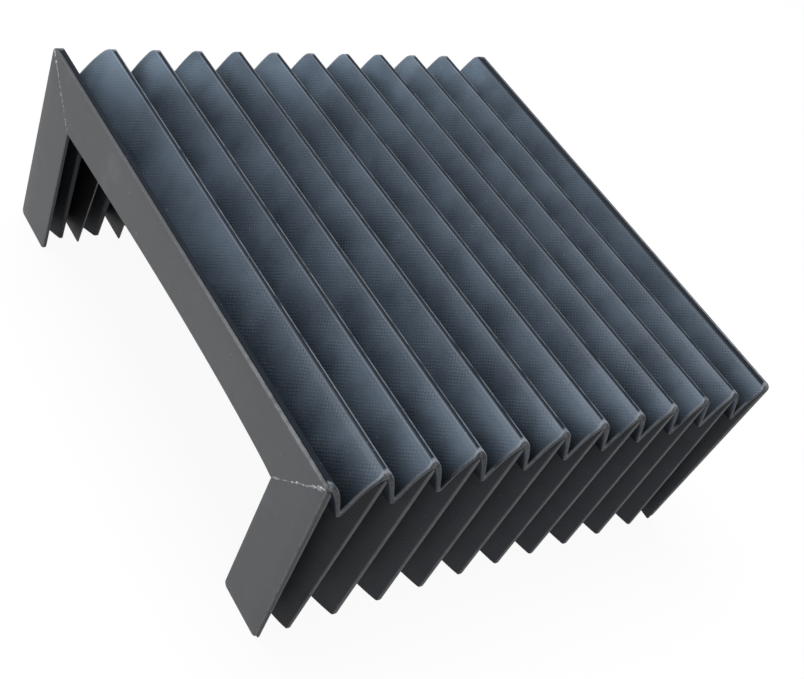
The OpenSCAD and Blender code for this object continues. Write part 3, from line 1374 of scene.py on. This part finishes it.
@dataclass
class EndFrame:
    """Mitred frame at one end, with weld beads on its mitres."""

    sizes: CoverSizes
    end: End
    plastic: Material
    rim: Material
    seam: Material
    seed: int
    edge_r: float = 0.4 * MM
    edge_steps: int = 3
    edge_angle: float = math.radians(30)
    sharp: float = math.radians(50)
    rim_normal: float = 0.5
    arc_steps: int = 8
    mitre_tolerance: float = 1e-6
    bead_half: float = 0.36 * MM
    bead_rise: float = 0.16 * MM
    bead_rings: int = 90
    bead_sides: int = 10
    bead_ends: float = 14.0
    bead_sharp: float = math.radians(80)
    bead_mean: float = 0.75
    bead_least: float = 0.08
    ragged_share: float = 0.9
    ragged_width: int = 3
    wander: float = 0.25 * MM
    wander_width: int = 7
    fray: float = 2.6
    fray_left: float = 0.3
    fray_at: float = 0.04
    fray_reach: float = 0.12
    fray_ragged: float = 0.5
    top_bow: float = 0.0
    bow_lean: float = 1.3
    bow_power: float = 0.7
    bow_step: float = 8 * MM

    def bow(self, y: float, z: float) -> float:
        """How far a point has bowed inwards: most at the top bar's lower edge, none at the mitres.

        Args:
            y: Place across the frame.
            z: Place down the frame.

        Returns:
            The distance.
        """
        inner = self.sizes.frame_inner
        if abs(y) >= inner:
            return 0.0
        along = ((inner - y) / (2 * inner)) ** self.bow_lean
        full = math.sin(math.pi * along) ** self.bow_power
        return self.top_bow * full * min(max(-z / self.sizes.bar_w, 0), 1)

    def bend(self, work: bmesh.types.BMesh) -> None:
        """Cuts a mesh of the frame across every few millimetres, and bows it.

        Args:
            work: The mesh, before it is placed.
        """
        sizes = self.sizes
        for reach, along in ((sizes.width / 2, Vector((0, 1, 0))), (sizes.bar_h, Vector((0, 0, 1)))):
            for at in np.arange(self.bow_step - reach, reach, self.bow_step):
                geometry = [*work.verts, *work.edges, *work.faces]
                bmesh.ops.bisect_plane(work, geom=geometry, plane_co=along * float(at), plane_no=along)
        for vert in work.verts:
            vert.co.x -= self.bow(vert.co.y, vert.co.z)

    def placing(self) -> Matrix:
        """Places the frame: Y across, Z up its lean from its top edge, X outwards from its back.

        Returns:
            The change from the frame's own axes to the scene's.
        """
        sizes, out = self.sizes, self.end.value
        normal = Vector((out * math.cos(sizes.lean), 0, -math.sin(sizes.lean)))
        up = Vector((out * math.sin(sizes.lean), 0, math.cos(sizes.lean)))
        place = Matrix((normal, (0, 1, 0), up)).transposed().to_4x4()
        place.translation = (out * sizes.frame_pivot, 0, sizes.height)
        return place

    def rounding(self, y: float, z: float, radius: float, start: float, end: float) -> Outline:
        """Points of a rounded corner.

        Args:
            y: Place of its centre across the frame.
            z: Place of its centre down the frame.
            radius: Its radius.
            start: Angle that it starts at, in degrees.
            end: Angle that it ends at.

        Returns:
            The points as [y, z].
        """
        shares = [step / self.arc_steps for step in range(self.arc_steps + 1)]
        turns = [math.radians(start + (end - start) * share) for share in shares]
        return [(y + radius * math.cos(turn), z + radius * math.sin(turn)) for turn in turns]

    def top_outline(self) -> Outline:
        """Outline of the top bar, mitred at both ends.

        Returns:
            The corners as [y, z].
        """
        inner, low, radius = self.sizes.frame_inner, -self.sizes.bar_w, self.sizes.corner_r
        corner = self.sizes.width / 2 - radius
        return [(-inner, low), (inner, low),
                *self.rounding(corner, -radius, radius, 45, 90),
                *self.rounding(-corner, -radius, radius, 90, 135)]

    def leg_outline(self, side: Side) -> Outline:
        """Outline of a leg, mitred at its head and rounded at its foot.

        Args:
            side: Which leg.

        Returns:
            The corners as [y, z], the inner one of the mitre first.
        """
        sizes = self.sizes
        outer, low = -sizes.width / 2, sizes.foot_r - sizes.bar_h
        inner = outer + sizes.bar_w
        points = [(inner, -sizes.bar_w),
                  *self.rounding(outer + sizes.corner_r, -sizes.corner_r, sizes.corner_r, 135, 180),
                  *self.rounding(outer + sizes.foot_r, low, sizes.foot_r, 180, 270),
                  *self.rounding(inner - sizes.foot_r, low, sizes.foot_r, 270, 360)]
        return [(-side.value * y, z) for y, z in points]

    def is_mitre(self, edge: bmesh.types.BMEdge) -> bool:
        """Tells whether both ends of an edge are on a mitre."""
        past = [abs(vert.co.y) - self.sizes.width / 2 - vert.co.z for vert in edge.verts]
        return all(abs(distance) < self.mitre_tolerance for distance in past)

    def bar(self, name: str, outline: Outline, node: str) -> Piece:
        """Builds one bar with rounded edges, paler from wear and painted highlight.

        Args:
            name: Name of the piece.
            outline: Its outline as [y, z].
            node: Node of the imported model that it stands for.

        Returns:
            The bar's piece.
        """
        work = bmesh.new()
        back, face = ([work.verts.new((x, y, z)) for y, z in outline] for x in (0, self.sizes.bar_t))
        work.faces.new(back)
        work.faces.new(face)
        for here in range(len(outline)):
            after = (here + 1) % len(outline)
            work.faces.new((back[here], back[after], face[after], face[here]))
        bmesh.ops.recalc_face_normals(work, faces=work.faces)
        worn = work.faces.layers.float.new("edge")
        plain = [edge for edge in work.edges
                 if edge.calc_face_angle(0) > self.edge_angle and not self.is_mitre(edge)]
        rounded = bmesh.ops.bevel(work, geom=plain, offset=self.edge_r, offset_type="OFFSET",
                                  segments=self.edge_steps, profile=0.5, affect="EDGES", clamp_overlap=True)
        for part in rounded["faces"]:
            part[worn] = 1.0
        for part in work.faces:
            # Faces that do not face along X take the darker copy of the grey, a painted shade.
            part.material_index = int(abs(part.normal.x) < self.rim_normal)
        self.bend(work)
        mesh = bpy.data.meshes.new(name)
        work.to_mesh(mesh)
        work.free()
        obj = add_object(name, mesh)
        give_materials(mesh, self.plastic, self.rim)
        mesh.transform(self.placing())
        face_outwards(mesh, self.sharp)
        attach(obj, self.end.body)
        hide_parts(node)
        return obj

    def draws(self, random: np.random.Generator, width: int) -> np.ndarray:
        """Random numbers for the rings of a bead, each the mean of `width` draws."""
        numbers = random.normal(size=self.bead_rings + width - 1)
        return np.convolve(numbers, np.ones(width) / width, "valid")

    def bead(self, side: Side, random: np.random.Generator) -> Piece:
        """Builds the frayed weld bead along a mitre, on the frame's outside.

        Args:
            side: Which corner of the frame.
            random: Draws for the bead's unevenness.

        Returns:
            The bead's piece.
        """
        sizes, rings, sides = self.sizes, self.bead_rings, self.bead_sides
        at = np.linspace(0, 1, rings)
        ease = np.sqrt(np.clip(np.minimum(at, 1 - at) * self.bead_ends, 0, 1))
        fray = self.fray * (1.0 if side is Side.RIGHT else self.fray_left)
        frayed = fray * hump(at, self.fray_at, self.fray_reach)
        ragged = self.draws(random, self.ragged_width)
        uneven = self.bead_mean + self.ragged_share * ragged + frayed * (1 + self.fray_ragged * ragged)
        size = ease * np.clip(uneven, self.bead_least, None)
        wander = self.wander * self.draws(random, self.wander_width)
        inset = self.edge_r / 2
        slant = math.sqrt(0.5)
        outer = inset + sizes.corner_r * (1 - slant)
        down = (outer + at * (sizes.bar_w - outer - inset))[:, None]
        turn = 2 * math.pi * np.arange(sides) / sides
        wide = (self.bead_half * size)[:, None] * np.cos(turn) + wander[:, None]
        high = (self.bead_rise * size)[:, None] * np.sin(turn)
        y = side.value * (sizes.width / 2 - down + wide * slant)
        points = np.stack([sizes.bar_t + high, y, -down - wide * slant], axis=-1).reshape(-1, 3)
        faces = tube_faces(rings, sides) + tube_ends(rings, sides)
        obj = mesh_object(f"{self.end.word}_{side.word}_mitre_seam", points, faces)
        obj.data.transform(self.placing())
        give_materials(obj.data, self.seam)
        face_outwards(obj.data, self.bead_sharp)
        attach(obj, self.end.body)
        return obj

    def build(self) -> None:
        """Builds the frame's three bars and the beads of its mitres."""
        random = np.random.default_rng(self.seed)
        word = self.end.word
        report(self.bar(f"{word}_frame_top", self.top_outline(), f"{word}_top_bar"))
        for side in Side:
            name, node = f"{word}_frame_{side.word}", f"{word}_{side.word}_leg"
            report(self.bar(name, self.leg_outline(side), node))
            report(self.bead(side, random))


@dataclass
class EndFlap:
    """Flap that bonds the cloth to the back of one frame: an inverted U under the end crests."""

    sizes: CoverSizes
    frame: EndFrame
    cloth: Material
    cut_edge: Material
    clear: float = 0.3 * MM
    foot_clear: float = 1.2 * MM
    sharp: float = math.radians(30)

    def build(self) -> None:
        """Builds, dresses and attaches the flap, within the hems of the three strips."""
        sizes, end = self.sizes, self.frame.end
        half, top = sizes.width / 2 - sizes.sheet - self.clear, -sizes.sheet - self.clear
        inner, head = sizes.frame_inner + sizes.sheet, sizes.sheet - sizes.bar_w
        low = self.foot_clear - sizes.bar_h
        outline = [(-half, low), (-half, top), (half, top), (half, low),
                   (inner, low), (inner, head), (-inner, head), (-inner, low)]
        count = len(outline)
        points = np.array([(x, y, z) for x in (-sizes.flap - sizes.gap, -sizes.gap / 2) for y, z in outline])
        faces = tube_faces(2, count)
        for base in (0, count):
            for panel in ((0, 1, 6, 7), (1, 2, 5, 6), (2, 3, 4, 5)):
                faces.append(tuple(base + corner for corner in panel))
        obj = mesh_object(f"{end.word}_flap", points, faces)
        work = bmesh.new()
        work.from_mesh(obj.data)
        self.frame.bend(work)
        work.to_mesh(obj.data)
        work.free()
        obj.data.transform(self.frame.placing())
        give_materials(obj.data, self.cloth, self.cut_edge)
        face_outwards(obj.data, self.sharp)
        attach(obj, end.body)
        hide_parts("top_pleats", "right_pleats", "left_pleats")
        report(obj)


@dataclass
class FoldPlates:
    """Thin stiffening plates, one inverted U in each crest, whose inner edges stand free."""

    sizes: CoverSizes
    settle: Settle
    plastic: Material
    cut_edge: Material
    thick: float = 0.7 * MM
    outer_depth: float = 4 * MM
    inner_depth: float = 22.5 * MM
    leg_steps: int = 12
    top_steps: int = 40
    sharp: float = math.radians(30)

    def edge(self, depth: float, x: float) -> np.ndarray:
        """One edge of a plate as [y, z], from the right foot over the top to the left foot.

        Args:
            depth: Distance of the edge from the cover's outside.
            x: Place of the crest.

        Returns:
            Its points.
        """
        half, top = self.sizes.width / 2 - depth, self.sizes.height - depth
        up, over = np.linspace(0, 1, self.leg_steps), np.linspace(-1, 1, self.top_steps)[1:-1]
        legs = []
        for side in Side:
            foot = self.settle.lift(x, 0.0, side)
            legs.append(np.column_stack([np.full_like(up, side.value * half), foot + up * (top - foot)]))
        roof = np.column_stack([over * half, np.full_like(over, top)])
        return np.vstack([legs[0], roof, legs[1][::-1]])

    def drift(self, x: float) -> np.ndarray:
        """How far a plate follows the settled folds along X.

        Args:
            x: Place of the crest.

        Returns:
            The drift of each point, in the order of its edge.
        """
        down, over = np.linspace(1, 0, self.leg_steps), np.linspace(0, 1, self.top_steps)[1:-1]
        legs = [self.settle.leg(x, side, down) for side in Side]
        return np.concatenate([legs[0], self.settle.top(x, over), legs[1][::-1]])

    def build_plate(self, index: int, x: float) -> Piece:
        """Builds and dresses the plate of one crest, and bakes its placing into its mesh.

        Args:
            index: Number of the crest from the front, counted from 0.
            x: Place of the crest.

        Returns:
            The plate's piece.
        """
        outer, inner = self.edge(self.outer_depth, x), self.edge(self.inner_depth, x)
        along = x + self.drift(x)
        half = self.thick / 2
        ring = [np.column_stack([along + side * half, edge])
                for side, edge in ((-1, outer), (1, outer), (1, inner), (-1, inner))]
        count, sides = len(along), len(ring)
        points = np.stack(ring, axis=1).reshape(-1, 3)
        faces = tube_faces(count, sides) + tube_ends(count, sides)
        obj = mesh_object(f"fold_plate_{index + 1:02d}", points, faces)
        give_materials(obj.data, self.plastic, self.cut_edge)
        kinds = [1, 0, 1, 0] * (count - 1) + [1, 1]
        obj.data.polygons.foreach_set("material_index", kinds)
        face_outwards(obj.data, self.sharp)
        at = self.sizes.blend_place(x)
        reach = smooth_step_slope(at) * 2 * self.sizes.still_end
        End.FRONT.body
        End.REAR.body
        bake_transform(obj)
        return obj

    def build(self) -> None:
        """Builds the plates of all crests."""
        for index, x in enumerate(self.sizes.crests):
            report(self.build_plate(index, float(x)))


@dataclass
class Studio:
    """Pale floor, soft light from above and a camera."""

    eye: Triple = (-0.37733, -0.30616, 0.40562)
    view: Triple = (0.616246, 0.48811, -0.618053)
    up: Triple = (0.116178, 0.719848, 0.68434)
    focal_px: float = 1331.3
    shift_px: float = 30
    image_w: float = 804
    sensor: float = 36.0
    clip_start: float = 0.01
    clip_end: float = 50
    floor_half: float = 6.0
    floor_pale: float = 0.93
    floor_dim: float = 0.30
    floor_white: float = 0.94
    sky_high: float = 0.5
    sky_low: float = 0.42
    sky_from: float = -0.1
    key_at: Triple = (-0.1, 0.45, 1.5)
    key_aim: Triple = (0, 0, 0.05)
    key_size: float = 1.0
    key_watts: float = 24.0

    def build_camera(self) -> None:
        """Places the camera at the picture's angle."""
        camera = bpy.data.cameras.new("camera")
        camera.sensor_width = self.sensor
        camera.lens = self.focal_px / self.image_w * self.sensor
        camera.shift_x = self.shift_px / self.image_w
        camera.clip_start = self.clip_start
        camera.clip_end = self.clip_end
        back = -Vector(self.view).normalized()
        right = Vector(self.up).cross(back).normalized()
        turned = Matrix((right, back.cross(right), back)).transposed().to_4x4()
        turned.translation = self.eye
        obj = add_object("camera", camera)
        obj.matrix_world = turned
        bpy.context.scene.camera = obj

    def build_floor(self) -> None:
        """Lays the pale floor, which throws less light back than it shows."""
        graph = Graph(bpy.data.materials.new("floor_pale"))
        path = graph.add("LightPath").outputs
        shown = graph.math("MAXIMUM", path["Is Camera Ray"], path["Is Glossy Ray"])
        shown = graph.math("MAXIMUM", shown, path["Is Transmission Ray"])
        dim, pale = ((level, level, level, 1.0) for level in (self.floor_dim, self.floor_pale))
        matte = graph.add("BsdfDiffuse", {"Color": graph.mix(shown, dim, pale)})
        white = graph.add("Emission", {"Strength": 1.0})
        share = graph.times(shown, self.floor_white)
        shader = graph.add("MixShader", {0: share, 1: matte.outputs[0], 2: white.outputs[0]})
        graph.add("OutputMaterial", {"Surface": shader.outputs[0]})
        points = self.floor_half * np.array([(-1, -1, 0), (1, -1, 0), (1, 1, 0), (-1, 1, 0)])
        obj = mesh_object("floor", points, [(0, 1, 2, 3)])
        give_materials(obj.data, graph.block)

    def build_sky(self) -> None:
        """Lights the scene softly, more from above than from the sides, on a white ground."""
        graph = Graph(bpy.data.worlds.new("studio"))
        place = graph.add("TexCoord").outputs["Generated"]
        height = graph.add("SeparateXYZ", {0: place}).outputs["Z"]
        inputs = {"Value": height, "From Min": self.sky_from, "To Min": self.sky_low, "To Max": self.sky_high}
        level = graph.add("MapRange", inputs).outputs["Result"]
        seen = graph.add("LightPath").outputs["Is Camera Ray"]
        strength = graph.add("Mix", {"Factor": seen, "A": level, "B": 1.0}).outputs["Result"]
        light = graph.add("Background", {"Strength": strength})
        graph.add("OutputWorld", {"Surface": light.outputs[0]})
        bpy.context.scene.world = graph.block

    def build_key(self) -> None:
        """Hangs a soft lamp that looks at the cover."""
        lamp = bpy.data.lights.new("key", "AREA")
        lamp.shape = "SQUARE"
        lamp.size = self.key_size
        lamp.energy = self.key_watts
        obj = add_object("key", lamp)
        obj.location = self.key_at
        aim = Vector(self.key_aim) - Vector(self.key_at)
        obj.rotation_euler = aim.to_track_quat("-Z", "Y").to_euler()

    def build(self) -> None:
        """Builds the camera, the floor, the sky and the lamp."""
        self.build_camera()
        self.build_floor()
        self.build_sky()
        self.build_key()
        bpy.context.scene.view_settings.view_transform = "Standard"


def main() -> None:
    """Builds the studio, the three strips, the plates and the two ends in order."""
    logging.basicConfig(level=logging.INFO, format="%(name)s %(message)s")
    Studio().build()
    sizes = CoverSizes()
    settle = Settle(sizes)
    section = PleatSection(sizes)
    leg_section = PleatSection(
        sizes, rounding=0.35 * MM, crease_depth=0.0, bulge_front=0.3 * MM, bulge_rear=0.15 * MM)
    # The top cloth's blue tint is a painted sky reflection.
    top_cloth_painted_sky = ClothFinish("top_cloth_painted_sky").material()
    # Painted shade: the legs' cloth is a darker, greyer copy of the top's cloth.
    leg_cloth_painted_shade = ClothFinish(
        "leg_cloth_painted_shade", deep=(34, 37, 42), faded_and_lit=(53, 58, 65), shade_tone=(18, 19, 21), shade_share=0.7,
        crest=(92, 94, 97), crest_share=0.6, crest_gloss=0.3, groove_gloss=0.26, rubbed_and_highlit_share=0.0,
        thread_tone=0.12, dullness=0.16).material()
    cut_edge = CutEdgeFinish().material()
    plastic = FrameFinish().material()
    # Painted shade: the frame's edge faces get a darker copy of its grey.
    rim = FrameFinish(
        "frame_rim_painted_shade", base=(58, 61, 65), scuffed=(68, 71, 75), rubbed_and_highlit=(110, 114, 118),
        smear_share=0.0).material()
    seam = SeamFinish().material()
    plate = FrameFinish(
        "plate_dark", base=(34, 35, 37), scuffed=(42, 43, 45), flecks=Flecks(520.0, (64, 65, 66), 0.6),
        smear_share=0.0).material()
    # Painted light: the plates' cut edges are made paler so they show bright inside the shaded channels.
    plate_edge_painted_light = CutEdgeFinish("plate_edge_painted_light", core=(196, 197, 198), dark=(150, 151, 152)).material()
    TopStrip(sizes, section, settle, top_cloth_painted_sky, cut_edge, seed=11).build([side.word for side in Side])
    for side in Side:
        leg = LegStrip(sizes, leg_section, settle, leg_cloth_painted_shade, cut_edge, seed=23 + side.value, side=side)
        leg.build(["top"])
    FoldPlates(sizes, settle, plate, plate_edge_painted_light).build()
    bows = {End.FRONT: 2.1 * MM, End.REAR: 0.0}
    for end in End:
        end_frame = EndFrame(sizes, end, plastic, rim, seam, seed=41 + end.value, top_bow=bows[end])
        end_frame.build()
        EndFlap(sizes, end_frame, leg_cloth_painted_shade, cut_edge).build()


if __name__ == "__main__":
    main()
